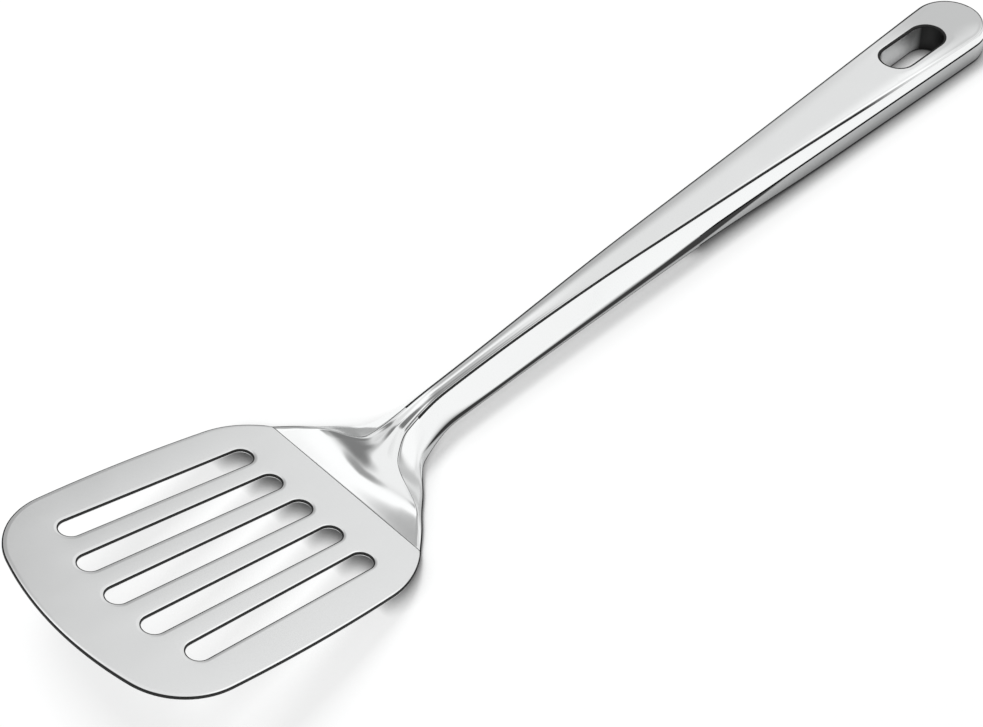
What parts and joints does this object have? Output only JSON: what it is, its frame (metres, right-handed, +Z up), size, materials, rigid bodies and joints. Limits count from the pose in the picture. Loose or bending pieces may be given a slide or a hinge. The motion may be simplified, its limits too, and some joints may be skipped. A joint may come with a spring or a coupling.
{
  "type": "slotted spatula",
  "caption": "Stainless steel kitchen turner: a wide slotted blade rising from a crease, a slim pressed neck and a hollow flat-backed handle with a lined hanging slot.",
  "frame": {"origin": "middle of the length, on the surface that the spatula lies on", "axes": "+X runs from the blade to the handle's end, +Z is up, and y = 0 is the mirror plane"},
  "size_m": [0.3518, 0.0804, 0.0266],
  "materials": {
    "blade_steel": "fine satin",
    "handle_steel": "polished"
  },
  "bodies": {
    "root": {"slotted_blade": "blade_steel", "handle_top_shell": "handle_steel", "handle_bottom_shell": "handle_steel", "hang_slot_liner": "handle_steel"}
  },
  "joints": []
}
